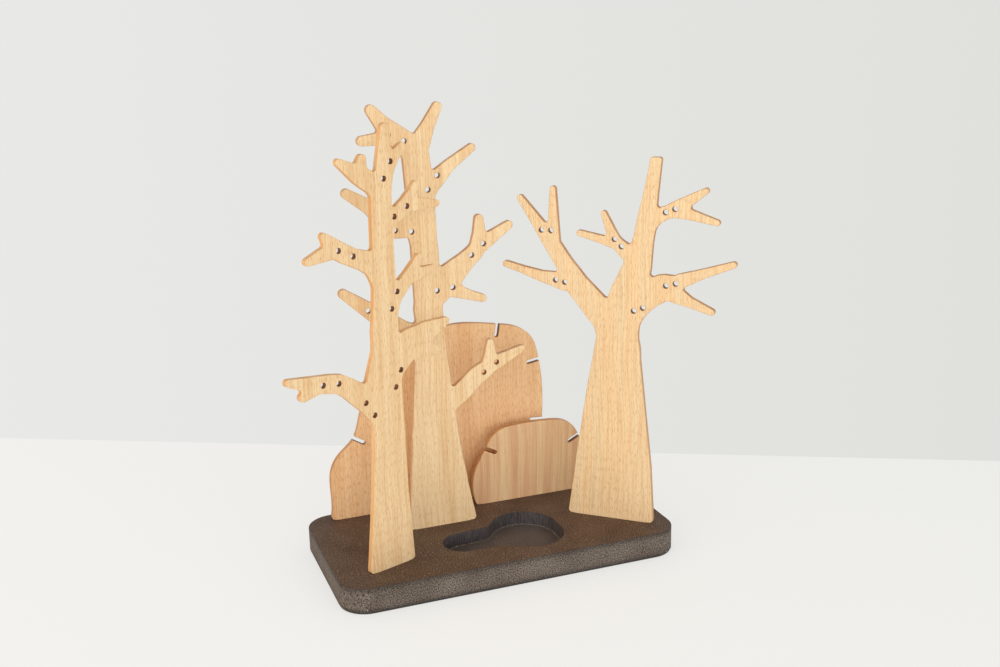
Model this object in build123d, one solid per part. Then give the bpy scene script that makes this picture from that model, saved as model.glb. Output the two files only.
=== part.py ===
from build123d import *
from math import acos, atan2, cos, dist, hypot, radians, remainder, sin, sqrt, tau
import os

# A jewellery holder: a dark fibreboard base with five flat beech cut-outs standing in it,
# three branching trees and two rounded bushes. Millimetres, +Z up. The origin is the
# middle of the underside of the felt, X runs along the base and Y to its back.

# Base board
base_length = 290.0
base_depth = 150.0
base_thickness = 20.0
base_corner_radius = 23.0
base_edge_round = 1.0

# Black felt glued to the underside
felt_thickness = 2.0
felt_inset = 0.8

# Beech sheet that every cut-out is made from
sheet_thickness = 5.0
foot_corner_radius = 3.0
crotch_radius = 2.2
limb_kink = 13.0
branch_root_drop = 17.0

# Push fit of a cut-out in the base
tenon_depth = 12.0
tenon_shoulder = 6.0
fit_clearance = 0.1
mortise_floor_gap = 0.3

# Pairs of holes for earrings and slots for chains
hole_diameter = 4.5
wide_hole_pitch = 13.7
close_hole_pitch = 8.2
slot_width = 3.6
slot_depth = 12.0

# Heights above the base and widths at the foot
front_tree_height = 347.7
front_tree_foot = 43.6
middle_tree_height = 357.0
middle_tree_foot = 60.8
right_tree_height = 311.0
right_tree_foot = 76.0
large_bush_height = 163.4
large_bush_foot = 199.0
small_bush_height = 70.5
small_bush_foot = 109.0

# Where each cut-out stands: the middle of its front face as shares of the base's length
# and depth from the centre, and its turn about the vertical in degrees
front_tree_place = (-0.337, -0.305, 20.5)
middle_tree_place = (-0.124, 0.095, 0.0)
right_tree_place = (0.347, -0.197, -42.8)
large_bush_place = (-0.083, 0.407, 0.0)
small_bush_place = (0.203, 0.283, 0.0)

# Tray milled into the top: a large lobe drawn front to back, a small round lobe and the
# neck between them, each placed by its middle as shares of the base
tray_depth = 12.0
large_lobe_radius = 28.2
large_lobe_stretch = 16.0
large_lobe_place = (0.090, -0.147)
small_lobe_radius = 18.0
small_lobe_place = (-0.107, -0.170)
neck_radius = 20.0
neck_place = (0.034, -0.160)
tray_blend_radius = 15.0

base_top = felt_thickness + base_thickness

# Each tree is a trunk and its branches. A trunk bead is (along, share of the height, half
# width) from the foot up. A branch hangs on a share of the tree's height, and its beads are
# (along, up from there, half width) in millimetres; a fork is one more run of beads. Each
# pair of holes is (along, up from there, slope in degrees).
front_tree_trunk = [
    (1.5, 0.173, 16.7), (2.6, 0.302, 14.6), (3.5, 0.521, 12.0),
    (4.9, 0.664, 10.1), (4.8, 0.817, 9.2), (8.8, 0.906, 6.8),
]
front_tree_branches = [
    (1.00, [[(8.8, -32.7, 6.8), (11.8, -4.0, 4.0)]], []),
    (0.88, [[(12, 9, 6.4), (26.3, 24, 2.7)]], [(11.4, 7.5, 61)]),
    (0.88, [[(3, -6, 8), (-13, 6, 7), (-29.5, 16.5, 2.9)],
            [(-13, 6, 7), (-9.8, 17.6, 3.3)]], []),
    (0.80, [[(14, -1.5, 5.6), (28.5, 8, 6.2), (37.6, 22.4, 2.5)],
            [(28.5, 8, 6.2), (56.8, 5.6, 2.7)]], [(22.2, 3.5, 28)]),
    (0.72, [[(-4, -5.3, 9), (-20, 1.7, 6.9), (-36.5, 11, 7), (-45.8, 21.2, 2.9)],
            [(-36.5, 11, 7), (-60.3, 4.9, 2.9)]], [(-28.3, 6.6, -25)]),
    (0.63, [[(14, -0.8, 6.6), (27.5, 11.4, 5.6), (37.6, 25.6, 2.7)],
            [(27.5, 11.4, 5.6), (50, 15, 2.8)]], [(12.9, -3.8, 66)]),
    (0.46, [[(4, -1.9, 13), (24, 18, 12.5), (62, 30, 3.2)],
            [(24, 18, 12.5), (52, 8, 3)]], [(13.3, -6.5, 67)]),
    (0.42, [[(-6, -10, 13), (-24, 3, 8.9), (-40, 14.6, 7.3), (-58, 17.8, 6.8), (-83, 24.6, 2.9)],
            [(-58, 17.8, 6.8), (-71.5, 11.2, 3.3)],
            [(3, 30, 12.2), (-4, 8, 12.5)]], [(-47.6, 16, -7), (-14, -11, -57)]),
]

middle_tree_trunk = [
    (-2.3, 0.106, 25.2), (-4.0, 0.210, 20.6), (-5.5, 0.387, 14.8), (-5.4, 0.507, 11.6),
    (-6.5, 0.602, 11.6), (-8.0, 0.700, 11.0), (-9.5, 0.807, 11.6), (-12.0, 0.890, 11.0),
]
middle_tree_branches = [
    (1.00, [[(-12, -38, 11), (-29, -22.8, 8), (-37.5, -15.4, 6.4), (-46.5, -4.2, 4.2)],
            [(-29, -24.4, 8), (-40, -26.4, 5), (-54.9, -27.4, 3.9)]], [(-27.5, -26.5, -23)]),
    (1.00, [[(-11, -37, 9.5), (-1.3, -19, 5.5), (7, -3.8, 3.8)]], []),
    (0.82, [[(-6, -4.7, 10), (7, 6.1, 6.6), (15.5, 13.9, 4.9), (34.7, 26.9, 3.3)]],
     [(1, 1.3, 53)]),
    (0.74, [[(-14, -2.2, 11), (-30, -1.7, 11), (-51, 13.8, 6), (-69.2, 25.6, 4)],
            [(-40, 5.8, 7), (-42, 28.8, 3.6)]], [(-24.7, -7.1, -9)]),
    (0.62, [[(10, -7.8, 12), (26.5, 6.2, 8), (37.9, 17.2, 7), (39.5, 40.5, 3.7)],
            [(37.9, 17.2, 7), (65.3, 33.5, 3.5)],
            [(10, -10.3, 10.5), (22, -19, 5), (41, -25.8, 3.3)]],
     [(8.4, -14.9, 6), (37.4, 15.5, 39)]),
    (0.47, [[(-12, -4.8, 12), (-28, 6.2, 9), (-48, 21.2, 7.5), (-76, 42.8, 4)],
            [(-48, 21.2, 7.5), (-42, 49.2, 3.8)]], [(-50.5, 24, -29)]),
    (0.34, [[(2, -13.4, 13), (18, -6.4, 8.5), (34, 7.9, 8), (44.6, 14.8, 7), (46.5, 35.4, 3.1)],
            [(44.6, 14.8, 7), (75, 26.6, 3.2)]], [(45.9, 13.9, 33)]),
]

right_tree_trunk = [
    (2.1, 0.151, 33.2), (3.8, 0.370, 24.3), (5.7, 0.531, 17.1),
    (14.5, 0.643, 14.5), (22.0, 0.714, 11.5), (27.0, 0.791, 8.2),
]
right_tree_branches = [
    (1.00, [[(27, -65, 8.2), (29.4, -49, 7.6), (32.3, -31, 6.1), (35.4, -11, 5), (33.7, -2, 2)],
            [(35.4, -11, 5), (39.3, -2, 2)], [(39.3, -2, 2), (33.7, -2, 2)]], []),
    (0.83, [[(32, 1, 7), (47, 9.9, 5.4), (55, 12.6, 6.9), (62, 18.3, 4.6), (76.6, 27.3, 2.5)],
            [(55, 11.5, 6.4), (64, 8.5, 4.3), (86, 2.6, 2.4)]], [(48.7, 10.9, 21)]),
    (0.76, [[(20, -10.4, 8.6), (7.3, 2.2, 5.4), (2.4, 7.6, 4.8), (-6.4, 28.4, 2.3)],
            [(5.2, 3.4, 4.6), (-8, 6.8, 3.4), (-27, 11.3, 2.5)]], [(5.8, 4.8, -45)]),
    (0.66, [[(24, -11.3, 12), (42, 0.2, 11.2), (50, 1, 10.5)],
            [(57, 6.9, 6), (76, 14.2, 3.9), (99.8, 22.7, 2.6)],
            [(54, -4.3, 7), (65, -9.5, 4.3), (83.4, -16.7, 2.6)]],
     [(49.9, 3.8, 15), (23.2, -18.5, 22)]),
    (0.62, [[(-4, -16.4, 12.5), (-28.6, 10.4, 10.2), (-40.3, 28.4, 7.6), (-52.6, 47, 6.8),
             (-68.2, 68.4, 4.2), (-78.6, 82, 2.7)],
            [(-49.8, 45, 5.8), (-49.8, 62, 4.6), (-49.8, 90.3, 2.5)],
            [(-40, 13.2, 7.6), (-60.4, 16.7, 4.7), (-76.9, 21.3, 3.2), (-92.5, 25.6, 2.7)]],
     [(-55.9, 55.9, 0), (-43.9, 13.6, -10)]),
]

# Rim of each bush from its left foot over its top, as shares of half its foot and of its
# height (the small bush is the same on its right), and where its slots open along the rim
large_bush_rim = [
    (-1.0, 0.0), (-0.985, 0.175), (-0.968, 0.286), (-0.889, 0.364), (-0.782, 0.424),
    (-0.755, 0.448), (-0.687, 0.58), (-0.40, 0.82), (0.0, 0.98), (0.2, 1.0), (0.575, 0.974),
    (0.807, 0.936), (0.908, 0.883), (0.977, 0.765), (1.01, 0.616), (1.007, 0.406), (0.985, 0.0),
]
large_bush_slots = [0.182, 0.316, 0.453, 0.59, 0.723, 0.853]
small_bush_half_rim = [
    (-1.0, 0.0), (-1.05, 0.14), (-1.062, 0.26), (-1.03, 0.42), (-0.84, 0.72),
    (-0.7, 0.89), (-0.54, 0.963), (-0.28, 0.993),
]
small_bush_rim = small_bush_half_rim + [(0.0, 1.0)] + [(-u, z) for u, z in small_bush_half_rim[::-1]]
small_bush_slots = [0.255, 0.745]


def taper(start, end):
    """A stick between two round ends, each given as (along, up, half width)."""
    u0, z0, r0 = start
    u1, z1, r1 = end
    heading = atan2(z1 - z0, u1 - u0)
    lean = acos((r0 - r1) / hypot(u1 - u0, z1 - z0))
    near = [(u0 + r0 * cos(heading + a), z0 + r0 * sin(heading + a)) for a in (lean, -lean)]
    far = [(u1 + r1 * cos(heading + a), z1 + r1 * sin(heading + a)) for a in (-lean, lean)]
    side = make_face(Polyline(*near, *far, close=True))
    return [side, Pos(u0, z0) * Circle(r0), Pos(u1, z1) * Circle(r1)]


def chain(beads):
    """A limb: sticks from bead to bead."""
    return [piece for pair in zip(beads, beads[1:]) for piece in taper(*pair)]


def mixed(a, b, share):
    """The bead that lies a share of the way from one bead to another."""
    return tuple(p + share * (q - p) for p, q in zip(a, b))


def curved(beads):
    """The beads of a limb and more between them, on a smooth curve through them all."""
    ends = [mixed(beads[1], beads[0], 2), *beads, mixed(beads[-2], beads[-1], 2)]
    line = [beads[0]]
    for a, b, c, d in zip(ends, ends[1:], ends[2:], ends[3:]):
        before, span, after = sqrt(dist(a, b)), sqrt(dist(b, c)), sqrt(dist(c, d))
        bend = remainder(atan2(d[1] - b[1], d[0] - b[0]) - atan2(c[1] - a[1], c[0] - a[0]), tau)
        steps = 1 + round(abs(bend) / radians(limb_kink))
        for step in range(1, steps + 1):
            t = step / steps * span
            middle = mixed(b, c, t / span)
            left = mixed(mixed(a, b, 1 + t / before), middle, (before + t) / (before + span))
            right = mixed(middle, mixed(c, d, (t - span) / after), t / (span + after))
            line.append(mixed(left, right, t / span))
    return line


def bead_at(trunk, up):
    """The bead that a trunk has at a height."""
    low, high = next(pair for pair in zip(trunk, trunk[1:]) if pair[1][1] >= up)
    return mixed(low, high, (up - low[1]) / (high[1] - low[1]))


def ease_crotches(outline, radius):
    """Round the inside corners of an outline and keep its outside."""
    grown = offset(outline, amount=radius, kind=Kind.ARC)
    return offset(grown, amount=-radius, kind=Kind.ARC)


def foot_block(trunk, top):
    """The part of a trunk below a height, which has no round end to stand on."""
    low = [bead for bead in trunk if bead[1] <= top]
    left = [(u - r, z) for u, z, r in low]
    right = [(u + r, z) for u, z, r in reversed(low)]
    return make_face(Polyline(*left, *right, close=True))


def round_foot(outline):
    """Round the two corners that an outline stands on."""
    return fillet(outline.vertices().group_by(Axis.Y)[0], foot_corner_radius)


def tenon_length(foot):
    return foot - 2 * tenon_shoulder


def cut_out(outline, foot):
    """The sheet piece of an outline, with its tenon, standing on the plane up = 0."""
    tongue = Pos(0, -tenon_depth / 2) * Rectangle(tenon_length(foot), tenon_depth)
    root = Pos(0, foot_corner_radius / 2) * Rectangle(tenon_length(foot), foot_corner_radius)
    profile = outline + [tongue, root]
    return Rot(90, 0, 0) * extrude(profile, -sheet_thickness)


def hole_pair(along, up, slope, pitch):
    """Two holes, a pitch apart along a slope."""
    step = pitch / 2
    turn = radians(slope)
    return [Pos(along + s * cos(turn), up + s * sin(turn)) * Circle(hole_diameter / 2)
            for s in (-step, step)]


def tree(height, foot, trunk, branches, pitch):
    """A branching cut-out with a pair of holes on most of its branches."""
    beads = curved([(0, 0, foot / 2)] + [(u, share * height, r) for u, share, r in trunk])
    knee = trunk[0][1] * height
    limbs = [foot_block(beads, knee)] + chain([bead for bead in beads if bead[1] >= knee])
    holes = []
    for share, runs, pairs in branches:
        level = share * height
        for run in runs:
            limb = [(u, level + up, r) for u, up, r in run]
            if share < 1 and run is runs[0]:
                roots = [limb[0][1] - drop for drop in (2 * branch_root_drop, branch_root_drop)]
                limb = [bead_at(beads, up) for up in roots] + limb
            limbs += chain(curved(limb))
        for along, up, slope in pairs:
            holes += hole_pair(along, level + up, slope, pitch)
    outline = ease_crotches(Sketch() + limbs, crotch_radius)
    return cut_out(round_foot(outline) - holes, foot)


def bush(height, foot, rim, slots):
    """A rounded cut-out with slots that open on its rim and run square to it."""
    edge = Spline(*[(u * foot / 2, z * height) for u, z in rim])
    outline = round_foot(make_face([edge, Line(edge @ 1, edge @ 0)]))
    cuts = []
    for share in slots:
        mouth = edge @ share
        inward = (edge % share).rotate(Axis.Z, -90)
        end = mouth + inward * (slot_depth - slot_width / 2)
        outer = mouth - inward * slot_width
        cuts += chain([(outer.X, outer.Y, slot_width / 2), (end.X, end.Y, slot_width / 2)])
    return cut_out(Sketch() + outline - cuts, foot)


def placed(item, place):
    """Set a cut-out, or its mortise, down on the base."""
    share_x, share_y, turn = place
    return Pos(share_x * base_length, share_y * base_depth, base_top) * Rot(0, 0, turn) * item


def mortise(foot):
    """A round-ended slot for a tenon, below the plane up = 0."""
    width = sheet_thickness + 2 * fit_clearance
    length = tenon_length(foot) + width
    depth = tenon_depth + mortise_floor_gap
    slot = Pos(0, sheet_thickness / 2) * SlotOverall(length, width)
    return Pos(0, 0, -depth) * extrude(slot, 2 * depth)


def tray():
    """The pear-shaped recess, as a solid to cut away."""
    def bead(place, radius, back=0.0):
        return (place[0] * base_length, place[1] * base_depth + back, radius)

    half = large_lobe_stretch / 2
    large = [bead(large_lobe_place, large_lobe_radius, b) for b in (-half, half)]
    small = [bead(small_lobe_place, small_lobe_radius), bead(neck_place, neck_radius)]
    outline = ease_crotches(Sketch() + chain(large) + chain(small), tray_blend_radius)
    return Pos(0, 0, base_top - tray_depth) * extrude(outline, 2 * tray_depth)


def base_board(stands):
    """The board with its tray and a mortise for each cut-out."""
    board = extrude(RectangleRounded(base_length, base_depth, base_corner_radius), base_thickness)
    board = fillet(board.edges().group_by(Axis.Z)[-1], base_edge_round)
    mortises = [placed(mortise(foot), place) for foot, place in stands]
    return Pos(0, 0, felt_thickness) * board - [tray(), *mortises]


def felt_sheet():
    """The felt under the board, a little inside its edge all round."""
    outline = RectangleRounded(base_length, base_depth, base_corner_radius)
    return extrude(offset(outline, amount=-felt_inset), felt_thickness)


front_tree = tree(front_tree_height, front_tree_foot, front_tree_trunk,
                  front_tree_branches, wide_hole_pitch)
middle_tree = tree(middle_tree_height, middle_tree_foot, middle_tree_trunk,
                   middle_tree_branches, wide_hole_pitch)
right_tree = tree(right_tree_height, right_tree_foot, right_tree_trunk,
                  right_tree_branches, close_hole_pitch)
large_bush = bush(large_bush_height, large_bush_foot, large_bush_rim, large_bush_slots)
small_bush = bush(small_bush_height, small_bush_foot, small_bush_rim, small_bush_slots)

stands = [
    (front_tree_foot, front_tree_place), (middle_tree_foot, middle_tree_place),
    (right_tree_foot, right_tree_place), (large_bush_foot, large_bush_place),
    (small_bush_foot, small_bush_place),
]
nodes = {
    "base": base_board(stands),
    "felt": felt_sheet(),
    "front_tree": placed(front_tree, front_tree_place),
    "middle_tree": placed(middle_tree, middle_tree_place),
    "right_tree": placed(right_tree, right_tree_place),
    "large_bush": placed(large_bush, large_bush_place),
    "small_bush": placed(small_bush, small_bush_place),
}

os.makedirs("parts", exist_ok=True)
for name, solid in nodes.items():
    export_step(solid, f"parts/{name}.step")
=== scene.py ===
"""A jewellery holder: five beech cut-outs, three branching trees and two rounded bushes,
standing in the mortises of a dark fibreboard base with a milled tray. Metres, +Z up."""
from math import cos, pi, radians, sin

import bpy
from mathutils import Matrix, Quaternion, Vector


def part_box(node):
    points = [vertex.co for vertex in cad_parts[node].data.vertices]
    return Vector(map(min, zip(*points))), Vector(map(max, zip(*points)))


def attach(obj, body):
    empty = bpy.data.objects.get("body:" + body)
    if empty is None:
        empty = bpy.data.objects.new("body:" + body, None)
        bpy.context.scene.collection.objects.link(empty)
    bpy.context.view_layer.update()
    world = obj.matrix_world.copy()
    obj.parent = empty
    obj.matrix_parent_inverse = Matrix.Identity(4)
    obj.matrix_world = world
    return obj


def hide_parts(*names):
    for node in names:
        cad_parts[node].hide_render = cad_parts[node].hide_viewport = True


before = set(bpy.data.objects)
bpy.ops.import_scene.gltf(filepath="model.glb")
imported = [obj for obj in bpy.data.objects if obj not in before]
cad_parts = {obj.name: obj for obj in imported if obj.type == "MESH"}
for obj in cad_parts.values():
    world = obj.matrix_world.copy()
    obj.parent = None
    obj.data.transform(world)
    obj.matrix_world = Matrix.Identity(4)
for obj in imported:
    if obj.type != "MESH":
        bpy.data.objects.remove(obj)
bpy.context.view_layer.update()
mm = 0.001

# Base board. Medium-density fibreboard dyed through in the pulp, sawn to its outline and
# sanded. A cutter sinks the tray and the mortises into its top, rounds its upper edge and the
# tray's rim, and leaves a little pale dust in the corner of the tray. Those rounded arrises are
# painted dark, as painted shade, and the sides darker at the foot and under the top edge, as
# painted shade too.
base_low, base_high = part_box("base")
base_top = base_high.z
tray_depth = 12 * mm
tray_area = (-60 * mm, 65 * mm, -60 * mm, 20 * mm)
rim_bevel = 0.35 * mm
dust_fillet = 0.7 * mm
rounding_steps = 2
flat_angle = radians(0.3)
smooth_angle = radians(32)
hair = 0.01 * mm
steep_enough, flat_enough = 0.1, 0.9
tray_wall_slope, tray_floor_slope = 0.05, 0.95
side_slope, top_slope = 0.12, 0.97
cloud_width = 26 * mm
mottle_width = 1.0 * mm
speck_pitch = 1.9 * mm
mottle_relief = 0.15 * mm
wall_stretch = 9.0
even = [(0.0, 1.0), (1.0, 1.0)]
# Painted shade on the sawn side: darker at its foot and under its top edge.
side_shade_bands = [(0.0, 0.45), (0.16, 0.92), (0.5, 1.0), (0.78, 0.92), (0.90, 0.6)]


def linear(colour):
    """Turn an sRGB hex colour into the linear RGBA that a socket takes."""
    parts = [int(colour[i:i + 2], 16) / 255 for i in (0, 2, 4)]
    return [p / 12.92 if p <= 0.04045 else ((p + 0.055) / 1.055) ** 2.4 for p in parts] + [1.0]


def add(tree, kind, inputs=None, stops=(), **settings):
    """Add a node with its settings, its inputs filled or linked, and the stops of its colour
    band, each a place and a grey level or hex colour."""
    made = tree.nodes.new("ShaderNode" + kind)
    for name, value in settings.items():
        setattr(made, name, value)
    for socket, value in (inputs or {}).items():
        if isinstance(value, bpy.types.NodeSocket):
            tree.links.new(value, made.inputs[socket])
        else:
            made.inputs[socket].default_value = linear(value) if isinstance(value, str) else value
    if stops:
        band = made.color_ramp.elements
        while len(band) < len(stops):
            band.new(0.5)
        for stop, (place, colour) in zip(band, stops):
            stop.position = place
            stop.color = linear(colour) if isinstance(colour, str) else [colour] * 3 + [1.0]
    return made


def edit(piece):
    """Make a piece the only one selected and open it in edit mode with nothing selected."""
    bpy.ops.object.select_all(action="DESELECT")
    piece.select_set(True)
    bpy.context.view_layer.objects.active = piece
    bpy.ops.object.mode_set(mode="EDIT")
    bpy.ops.mesh.select_all(action="DESELECT")


def shaped_from(node, name, merged=0.002 * mm):
    """Start a piece from a CAD node: its mesh copied, merged and freed of flat edges."""
    piece = bpy.data.objects.new(name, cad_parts[node].data.copy())
    bpy.context.scene.collection.objects.link(piece)
    piece.data.materials.clear()
    edit(piece)
    bpy.ops.mesh.select_all(action="SELECT")
    bpy.ops.mesh.remove_doubles(threshold=merged)
    bpy.ops.mesh.dissolve_limited(angle_limit=flat_angle)
    bpy.ops.object.mode_set(mode="OBJECT")
    return piece


def bevel_edges(piece, wanted, width, segments):
    """Bevel the edges whose end points and face normals satisfy a test."""
    edit(piece)
    bpy.ops.object.mode_set(mode="OBJECT")
    mesh = piece.data
    normals = {}
    for face in mesh.polygons:
        for key in face.edge_keys:
            normals.setdefault(key, []).append(face.normal)
    for edge in mesh.edges:
        ends = [mesh.vertices[v].co for v in edge.vertices]
        edge.select = len(normals[edge.key]) == 2 and wanted(ends, normals[edge.key])
    bpy.ops.object.mode_set(mode="EDIT")
    bpy.ops.mesh.bevel(offset=width, segments=segments, affect="EDGES", clamp_overlap=False)
    bpy.ops.object.mode_set(mode="OBJECT")


def finish_piece(piece, node, body, materials, pick):
    """Give each face its material by a test, smooth the piece so that its broad faces stay
    flat, and put it in for its node."""
    for material in materials:
        piece.data.materials.append(material)
    bpy.context.view_layer.update()
    for face in piece.data.polygons:
        face.material_index = pick(face)
    bpy.ops.object.select_all(action="DESELECT")
    piece.select_set(True)
    bpy.context.view_layer.objects.active = piece
    bpy.ops.object.shade_smooth_by_angle(angle=smooth_angle)
    piece.modifiers.new("flat_faces", "WEIGHTED_NORMAL").keep_sharp = True
    bpy.ops.object.modifier_apply(modifier="flat_faces")
    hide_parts(node)
    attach(piece, body)


def fibreboard(name, dark, light, specks, speck_share, contrast, roughness, stretch=1.0,
               bands=even):
    """Dyed fibreboard: felted fibres under 1 mm long, which read as a fine mottle of the dye
    over paler fibre ends, in faint clouds. Softwood fibre is matt and shows no gloss. The
    mottle is drawn 1 mm wide, because the real one would blur to one colour. A cutter's
    upright strokes stretch it in height. Bands darken it over the height of the board, as
    painted shade at its foot and under its top edge."""
    material = bpy.data.materials.new(name)
    material.use_nodes = True
    tree = material.node_tree
    place = add(tree, "TexCoord").outputs["Object"]
    cloud = add(tree, "TexNoise", {"Vector": place, "Scale": 1 / cloud_width, "Detail": 4.0})
    drawn = add(tree, "Mapping", {"Vector": place, "Scale": (1.0, 1.0, 1 / stretch)})
    felted = add(tree, "TexNoise", {"Vector": drawn.outputs[0], "Scale": 1 / mottle_width,
                                    "Detail": 3.0, "Roughness": 0.75})
    fibre = add(tree, "ValToRGB", {0: felted.outputs[0]},
                stops=[(0.5 - contrast, 0.0), (0.5 + contrast, 1.0)])
    patch = add(tree, "ValToRGB", {0: cloud.outputs[0]},
                stops=[(0.34, "DDD8D6"), (0.66, "FFFFFF")])
    mottle = add(tree, "Mix", {0: fibre.outputs[0], 6: dark, 7: light}, data_type="RGBA")
    dyed = add(tree, "Mix", {0: 1.0, 6: mottle.outputs[2], 7: patch.outputs[0]},
               data_type="RGBA", blend_type="MULTIPLY")
    level = add(tree, "MapRange", {1: base_low.z, 2: base_high.z, 0: add(
        tree, "SeparateXYZ", {0: place}).outputs["Z"]})
    height_shade = add(tree, "ValToRGB", {0: level.outputs[0]}, stops=bands)
    darkened = add(tree, "Mix", {0: 1.0, 6: dyed.outputs[2], 7: height_shade.outputs[0]},
                   data_type="RGBA", blend_type="MULTIPLY")
    cells = add(tree, "TexVoronoi", {"Vector": place, "Scale": 1 / speck_pitch})
    near = add(tree, "ValToRGB", {0: cells.outputs["Distance"]}, stops=[(0.14, 1.0), (0.30, 0.0)])
    rare = add(tree, "ValToRGB", {0: cells.outputs["Color"]},
               stops=[(1 - speck_share, 0.0), (1.02 - speck_share, 1.0)])
    speck = add(tree, "Math", {0: near.outputs[0], 1: rare.outputs[0]}, operation="MULTIPLY")
    colour = add(tree, "Mix", {0: speck.outputs[0], 6: darkened.outputs[2], 7: specks},
                 data_type="RGBA")
    relief = add(tree, "Bump", {"Height": felted.outputs[0], "Strength": 0.5,
                                "Distance": mottle_relief})
    shader = tree.nodes["Principled BSDF"]
    tree.links.new(colour.outputs[2], shader.inputs["Base Color"])
    tree.links.new(relief.outputs[0], shader.inputs["Normal"])
    shader.inputs["Roughness"].default_value = roughness
    shader.inputs["IOR"].default_value = 1.45
    shader.inputs["Specular IOR Level"].default_value = 0.3
    return material


def in_tray(point):
    """Whether a point lies within the bounds of the tray, seen from above."""
    left, right, front, back = tray_area
    return left < point.x < right and front < point.y < back


def at_level(ends, normals, level):
    """Whether an edge of the tray lies at a level, between a flat face and an upright one."""
    steep, flat = sorted(abs(n.z) for n in normals)
    return (all(in_tray(end) and abs(end.z - level) < hair for end in ends)
            and steep < steep_enough and flat > flat_enough)


def base_face(face):
    """0 sanded top, 1 sawn side, 2 rounded arris in painted shade, 3 floor of the tray, 4 its
    dusty corner, 5 its wall."""
    height = base_top - face.center.z
    slope = abs(face.normal.z)
    if in_tray(face.center) and hair < height < tray_depth + hair:
        if slope < tray_wall_slope:
            return 5
        if slope > tray_floor_slope:
            return 3 if height > tray_depth / 2 else 0
        return 2 if height < tray_depth / 2 else 4
    if slope > top_slope:
        return 0
    return 1 if slope < side_slope else 2


board = shaped_from("base", "base_board")
bevel_edges(board, lambda ends, normals: at_level(ends, normals, base_top - tray_depth),
            dust_fillet, rounding_steps)
bevel_edges(board, lambda ends, normals: at_level(ends, normals, base_top),
            rim_bevel, rounding_steps)
finish_piece(board, "base", "base", [
    fibreboard("fibreboard_sanded_top", "37261C", "836A56", "B59875", 0.24, 0.06, 0.62),
    fibreboard("fibreboard_sawn_side", "3C342E", "92867A", "B9AD9F", 0.16, 0.08, 0.80,
               bands=side_shade_bands),
    # Painted shade on the rounded arrises of the top and the tray's rim.
    fibreboard("fibreboard_shaded_arris", "3A302A", "605349", "8A7966", 0.14, 0.09, 0.55),
    fibreboard("fibreboard_milled_floor", "4B4340", "776A61", "A29583", 0.12, 0.12, 0.70),
    fibreboard("fibreboard_dusty_corner", "5A504B", "938879", "BDB2A2", 0.20, 0.12, 0.85),
    fibreboard("fibreboard_milled_wall", "3F3B3C", "625C5B", "7E7672", 0.10, 0.14, 0.60,
               stretch=wall_stretch),
], base_face)

# Felt. A sheet of black pressed wool, 2 mm thick, cut a little inside the board's outline
# and glued under it, so that the holder neither slides nor scratches. It shows as a dark
# line round the foot of the board.
felt_edge = 0.5 * mm
felt_edge_steps = 3
square_enough = 0.3
fuzz_width = 0.8 * mm
fuzz_relief = 0.3 * mm


def pressed_wool(name):
    """Pressed wool felt: matt black with a short fuzz, which lifts its tone at grazing. The
    fuzz is drawn 0.8 mm wide, because single fibres wouldn't show."""
    material = bpy.data.materials.new(name)
    material.use_nodes = True
    tree = material.node_tree
    place = add(tree, "TexCoord").outputs["Object"]
    fuzz = add(tree, "TexNoise", {"Vector": place, "Scale": 1 / fuzz_width, "Detail": 5.0,
                                  "Distortion": 1.5})
    colour = add(tree, "ValToRGB", {0: fuzz.outputs[0]},
                 stops=[(0.35, "1A1715"), (0.68, "3B3532")])
    relief = add(tree, "Bump", {"Height": fuzz.outputs[0], "Strength": 0.8,
                                "Distance": fuzz_relief})
    shader = tree.nodes["Principled BSDF"]
    tree.links.new(colour.outputs[0], shader.inputs["Base Color"])
    tree.links.new(relief.outputs[0], shader.inputs["Normal"])
    shader.inputs["Roughness"].default_value = 0.95
    shader.inputs["Sheen Weight"].default_value = 0.3
    shader.inputs["Sheen Roughness"].default_value = 0.6
    return material


felt = shaped_from("felt", "felt_sheet")
bevel_edges(felt, lambda ends, normals: abs(normals[0].dot(normals[1])) < square_enough,
            felt_edge, felt_edge_steps)
finish_piece(felt, "felt", "base", [pressed_wool("wool_felt_black")], lambda face: 0)

# Cut-outs. Sheets of beech 5 mm thick, routed to their outlines, drilled and slotted, then
# sanded on the faces and eased on the arrises. The grain stands upright in all of them, with
# the short brown flecks of the wood's rays. The walls of the holes and slots are painted dark
# brown, as painted shade, and the eased arrises lighter, as a painted highlight.
arris = 0.35 * mm
shortest_edge = {"tree": 0.45 * mm, "bush": 0.3 * mm}
narrowest_slot = 2.4 * mm
widest_bore = 4.7 * mm
least_on_side = 0.99
least_on_face, least_on_arris = 0.95, 0.3
# Edge tones: the first two for the edge, the last two for the eased arris. Every edge is a more
# orange beech than its face; the thin and soft sets are painted darker still, as painted shade on
# the edges of the middle and right trees and of the bushes.
pale_edge = ("DAA76D", "E8BA83", "F1D1A3")
thin_shaded_edge = ("C2905F", "D6A878", "DDB98E")
soft_shaded_edge = ("BD8856", "D09D6C", "DBAC7C")
# Painted shade inside the holes and slots.
bore_shade = ("74401F", "98602F")
fleck_tone = "BE7438"
edge_flecks = 0.15
sway = 7 * mm
sway_length = 110 * mm
wood_relief = 0.05 * mm
cut_outs = {
    # Turn in degrees, dark and light tone of the face, tones of the edge and its arris (the arris
    # painted lighter, a painted highlight), where the pattern starts, width of the growth rings,
    # strength of the flecks.
    "front_tree": (20.5, "EBC897", "F2D4A6", pale_edge, (0.31, 0.11, 0.07), 9 * mm, 0.64),
    "middle_tree": (0.0, "ECCB9B", "F3D7AA", thin_shaded_edge, (0.83, 0.41, 0.36), 11 * mm, 0.52),
    "right_tree": (-42.8, "F0CF9F", "EDD2A7", thin_shaded_edge, (0.12, 0.77, 0.58), 8 * mm, 0.62),
    "large_bush": (0.0, "F1C491", "F8D0A0", soft_shaded_edge, (0.55, 0.23, 0.91), 14 * mm, 0.78),
    "small_bush": (0.0, "E0B086", "ECCA9B", soft_shaded_edge, (0.67, 0.59, 0.21), 9 * mm, 0.24),
}


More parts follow.
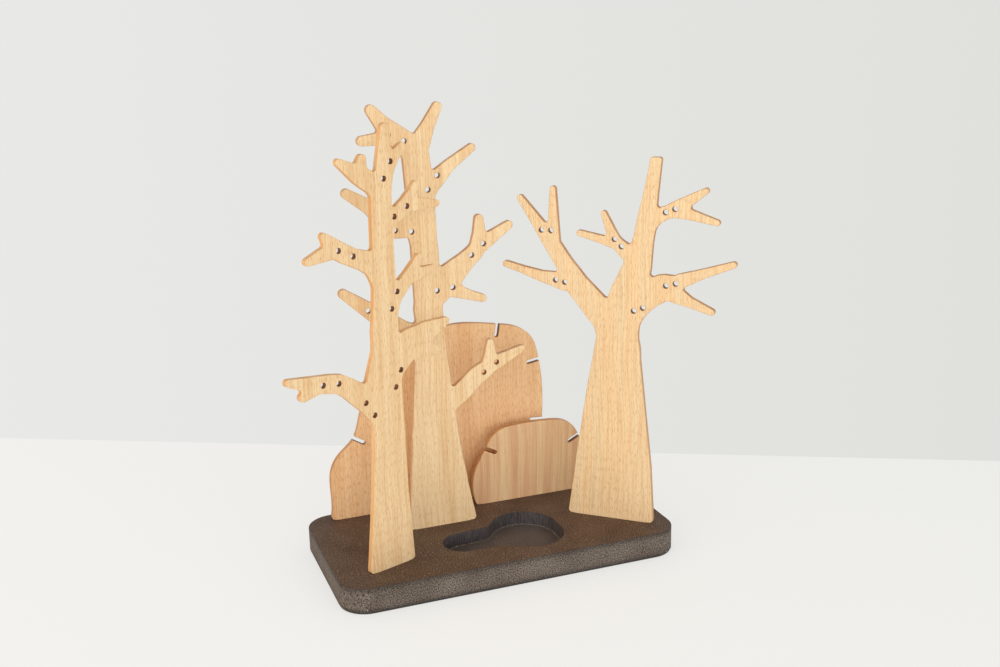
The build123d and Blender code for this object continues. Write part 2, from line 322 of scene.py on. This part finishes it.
def beech(name, turn, dark, light, start, ring_width, fleck_strength):
    """Beech, sanded and oiled: growth rings about a centimetre apart on a flat-sawn face,
    fine straight grain, and ray flecks 0.3 mm wide and 2 to 5 mm long, one to seven square
    millimetres. The flecks are drawn 0.4 mm wide and 4 mm long at most, because finer ones
    wouldn't show. Oiled wood has a soft gloss. The pattern lies on a face's width and height,
    and runs on round the arris, where the depth of the sheet adds to the width."""
    material = bpy.data.materials.new(name)
    material.use_nodes = True
    tree = material.node_tree
    place = add(tree, "TexCoord").outputs["Object"]
    turned = add(tree, "Mapping", {"Vector": place, "Location": start,
                                   "Rotation": (0, 0, -radians(turn))})
    axes = add(tree, "SeparateXYZ", {0: turned.outputs[0]})
    width = add(tree, "Math", {0: axes.outputs["X"], 1: axes.outputs["Y"]})
    face = add(tree, "CombineXYZ", {"X": width.outputs[0], "Y": axes.outputs["Z"]})
    wander = add(tree, "TexNoise", {"Vector": face.outputs[0], "Scale": 1 / sway_length,
                                    "Detail": 1.0}, noise_dimensions="2D")
    swayed = add(tree, "VectorMath", {0: wander.outputs["Color"], 1: (sway, 0, 0)},
                 operation="MULTIPLY")
    grown = add(tree, "VectorMath", {0: face.outputs[0], 1: swayed.outputs[0]})
    # Width and height of one cell of each pattern.
    cells = {"rings": (ring_width, 300 * mm), "grain": (1.1 * mm, 60 * mm),
             "rays": (0.8 * mm, 9 * mm)}
    spread = {part: add(tree, "Mapping", {"Vector": grown.outputs[0], "Scale": (
        1 / wide, 1 / high, 1)}).outputs[0] for part, (wide, high) in cells.items()}
    rings = add(tree, "TexNoise", {"Scale": 1.0, "Detail": 2.0, "Vector": spread["rings"]},
                noise_dimensions="2D")
    grain = add(tree, "TexNoise", {"Scale": 1.0, "Detail": 2.0, "Vector": spread["grain"]},
                noise_dimensions="2D")
    rays = add(tree, "TexVoronoi", {"Scale": 1.0, "Vector": spread["rays"]},
               voronoi_dimensions="2D")
    tone = add(tree, "ValToRGB", {0: rings.outputs[0]}, stops=[(0.36, 0.0), (0.64, 1.0)])
    wood = add(tree, "Mix", {0: tone.outputs[0], 6: dark, 7: light}, data_type="RGBA")
    fine = add(tree, "ValToRGB", {0: grain.outputs[0]},
               stops=[(0.33, "E6D3BC"), (0.60, "FFFFFF")])
    lined = add(tree, "Mix", {0: 0.5, 6: wood.outputs[2], 7: fine.outputs[0]},
                data_type="RGBA", blend_type="MULTIPLY")
    ray = add(tree, "ValToRGB", {0: rays.outputs["Distance"]}, stops=[(0.12, 1.0), (0.24, 0.0)])
    depth = add(tree, "ValToRGB", {0: rays.outputs["Color"]},
                stops=[(0.2, 0.2 * fleck_strength), (0.7, fleck_strength)])
    fleck = add(tree, "Math", {0: ray.outputs[0], 1: depth.outputs[0]}, operation="MULTIPLY")
    colour = add(tree, "Mix", {0: fleck.outputs[0], 6: lined.outputs[2], 7: fleck_tone},
                 data_type="RGBA")
    height = add(tree, "Math", {0: grain.outputs[0], 1: fleck.outputs[0]}, operation="SUBTRACT")
    relief = add(tree, "Bump", {"Height": height.outputs[0], "Strength": 0.12,
                                "Distance": wood_relief})
    gloss = add(tree, "ValToRGB", {0: rings.outputs[0]}, stops=[(0.3, 0.52), (0.7, 0.44)])
    shader = tree.nodes["Principled BSDF"]
    tree.links.new(colour.outputs[2], shader.inputs["Base Color"])
    tree.links.new(relief.outputs[0], shader.inputs["Normal"])
    tree.links.new(gloss.outputs[0], shader.inputs["Roughness"])
    shader.inputs["IOR"].default_value = 1.48
    shader.inputs["Specular IOR Level"].default_value = 0.35
    return material


def ease_arris(piece, side):
    """Ease the arris round one face of a sheet: the face sinks by its width and rises again
    inside it, and is filled anew round its holes."""
    edit(piece)
    bpy.ops.object.mode_set(mode="OBJECT")
    for face in piece.data.polygons:
        face.select = face.normal.dot(side) > least_on_side
    bpy.ops.object.mode_set(mode="EDIT")
    bpy.ops.transform.translate(value=-side * arris)
    bpy.ops.mesh.inset(thickness=arris, depth=arris)
    bpy.ops.mesh.delete(type="FACE")
    bpy.ops.mesh.select_all(action="DESELECT")
    bpy.ops.mesh.select_mode(type="EDGE")
    bpy.ops.mesh.select_non_manifold(use_wire=False, use_boundary=True, use_multi_face=False,
                                     use_non_contiguous=False, use_verts=False)
    bpy.ops.mesh.fill(use_beauty=False)
    bpy.ops.mesh.select_mode(type="FACE")
    bpy.ops.mesh.select_all(action="SELECT")
    bpy.ops.mesh.normals_make_consistent(inside=False)
    bpy.ops.object.mode_set(mode="OBJECT")


for node, (turn, dark, light, edge, start, ring_width, flecks) in cut_outs.items():
    across = Vector((-sin(radians(turn)), cos(radians(turn)), 0))
    piece = shaped_from(node, node + "_cut_out", shortest_edge[node.split("_")[-1]])
    for side in (across, -across):
        ease_arris(piece, side)

    def sheet_face(face):
        """0 face of the sheet, 1 edge, 2 wall of a hole or slot in painted shade, 3 eased arris
        with a painted highlight.
        """
        flat = abs(face.normal.dot(across))
        if flat > least_on_face:
            return 0
        if flat > least_on_arris:
            return 3
        near = face.center + face.normal * hair
        hit, far, _, _ = piece.ray_cast(near, face.normal, distance=widest_bore)
        return 2 if hit and (far - near).length > narrowest_slot else 1

    finish_piece(piece, node, node, [
        beech("beech_face_" + node, turn, dark, light, start, ring_width, flecks),
        beech("beech_edge_" + node, turn, *edge[:2], start, ring_width, edge_flecks),
        beech("beech_shaded_bore_" + node, turn, *bore_shade, start, ring_width, edge_flecks),
        # The eased arris takes the lighter edge tones: a painted highlight.
        beech("beech_arris_highlight_" + node, turn, *edge[1:], start, ring_width, edge_flecks),
    ], sheet_face)

# Stage: a white table top in front of a pale wall, both painted paler at the left as painted
# light, two broad soft boxes at the front and a warmer one low on the left, even light all
# round, and the camera.
wall_distance = 236.5 * mm
wall_turn = radians(-27.9)
stage_size = 6.0
drift_reach = 0.6
shadow_share = 0.36


def seen(tree):
    """1 for what the camera meets straight or in a gloss, 0 for what only lights."""
    path = add(tree, "LightPath")
    either = add(tree, "Math", {0: path.outputs["Is Camera Ray"],
                                1: path.outputs["Is Glossy Ray"]}, operation="MAXIMUM")
    return add(tree, "Math", {0: either.outputs[0], 1: path.outputs["Is Transmission Ray"]},
               operation="MAXIMUM").outputs[0]


def drift(tree, left, right):
    """A tone that changes slowly over the middle of the stage, from left to right: painted
    light, paler at the left.
    """
    axes = add(tree, "SeparateXYZ", {0: add(tree, "TexCoord").outputs["Object"]})
    share = add(tree, "MapRange", {0: axes.outputs["X"], 1: -drift_reach, 2: drift_reach})
    return add(tree, "Mix", {0: share.outputs[0], 6: left, 7: right},
               data_type="RGBA").outputs[2]


def table_paint(name, colour, left, right):
    """Matt white paint that shows part of its own tone, and part of the light on it."""
    material = bpy.data.materials.new(name)
    material.use_nodes = True
    tree = material.node_tree
    shader = tree.nodes["Principled BSDF"]
    shader.inputs["Base Color"].default_value = linear(colour)
    shader.inputs["Roughness"].default_value = 0.8
    shader.inputs["Specular IOR Level"].default_value = 0.1
    share = add(tree, "Math", {0: seen(tree), 1: 1 - shadow_share}, operation="MULTIPLY")
    tone = add(tree, "Emission", {"Color": drift(tree, left, right), "Strength": 1.0})
    both = add(tree, "MixShader", {0: share.outputs[0], 1: shader.outputs[0], 2: tone.outputs[0]})
    tree.links.new(both.outputs[0], tree.nodes["Material Output"].inputs["Surface"])
    return material


def wall_paint(name, left, right):
    """Matt paint that shows its own tone, from the front of the wall alone."""
    material = bpy.data.materials.new(name)
    material.use_nodes = True
    tree = material.node_tree
    tree.nodes.clear()
    behind = add(tree, "NewGeometry").outputs["Backfacing"]
    shown = add(tree, "Math", {0: seen(tree), 1: behind}, operation="SUBTRACT", use_clamp=True)
    clear = add(tree, "BsdfTransparent").outputs[0]
    tone = add(tree, "Emission", {"Color": drift(tree, left, right), "Strength": 1.0})
    both = add(tree, "MixShader", {0: shown.outputs[0], 1: clear, 2: tone.outputs[0]})
    add(tree, "OutputMaterial", {"Surface": both.outputs[0]})
    return material


bpy.ops.object.select_all(action="DESELECT")
bpy.ops.mesh.primitive_plane_add(size=stage_size)
table = bpy.context.object
table.name = "table_top"
table.data.materials.append(table_paint("white_paint_table", "F8F8F5", "FFFEFB", "F6F6F2"))

normal = Vector((-sin(wall_turn), cos(wall_turn), 0))
bpy.ops.mesh.primitive_plane_add(size=stage_size, rotation=(radians(90), 0, wall_turn),
                                 location=normal * wall_distance + Vector((0, 0, stage_size / 2)))
wall = bpy.context.object
wall.name = "wall"
wall.data.materials.append(wall_paint("white_paint_wall", "E9E9E7", "DFDFDB"))

world = bpy.data.worlds.new("studio")
bpy.context.scene.world = world
world.use_nodes = True
tree = world.node_tree
sky = tree.nodes["Background"]
sky.inputs["Color"].default_value = linear("FFFFFF")
sky.inputs["Strength"].default_value = 0.62
pale = add(tree, "Background", {"Color": "E9E9E6", "Strength": 1.0})
both = add(tree, "MixShader", {0: seen(tree), 1: sky.outputs[0], 2: pale.outputs[0]})
tree.links.new(both.outputs[0], tree.nodes["World Output"].inputs["Surface"])


soft_box_width = 3.0
soft_box_height = 1.3
holder_middle = Vector((0, 0, 0.12))


def lamp(name, place, power, colour):
    """A broad soft box that faces the middle of the holder."""
    data = bpy.data.lights.new(name, "AREA")
    data.shape = "RECTANGLE"
    data.size = soft_box_width
    data.size_y = soft_box_height
    data.energy = power
    data.color = linear(colour)[:3]
    made = bpy.data.objects.new(name, data)
    bpy.context.scene.collection.objects.link(made)
    made.location = place
    aim = holder_middle - Vector(place)
    made.rotation_euler = aim.to_track_quat("-Z", "Y").to_euler()


lamp("front_right_soft_box", (0.8, -2.5, 0.7), 17, "FFFFFF")
lamp("front_left_soft_box", (-1.6, -2.1, 0.7), 24, "FFFFFF")
lamp("left_warm_box", (-2.6, 0.1, 0.3), 20, "FFD8AE")

camera_azimuth = radians(-20.602)
camera_elevation = radians(15.069)
camera_roll = radians(-1.282)
camera_place = (-314.853 * mm, -874.676 * mm, 441.244 * mm)
camera_lens = 42.216
camera_sensor = 36

back = Vector((sin(camera_azimuth) * cos(camera_elevation),
               -cos(camera_azimuth) * cos(camera_elevation), sin(camera_elevation)))
camera = bpy.data.objects.new("camera", bpy.data.cameras.new("camera"))
bpy.context.scene.collection.objects.link(camera)
camera.data.sensor_width = camera_sensor
camera.data.lens = camera_lens
camera.location = camera_place
camera.rotation_mode = "QUATERNION"
camera.rotation_quaternion = (-back).to_track_quat("-Z", "Y") @ Quaternion((0, 0, 1), camera_roll)
bpy.context.scene.camera = camera
bpy.context.scene.view_settings.view_transform = "Standard"
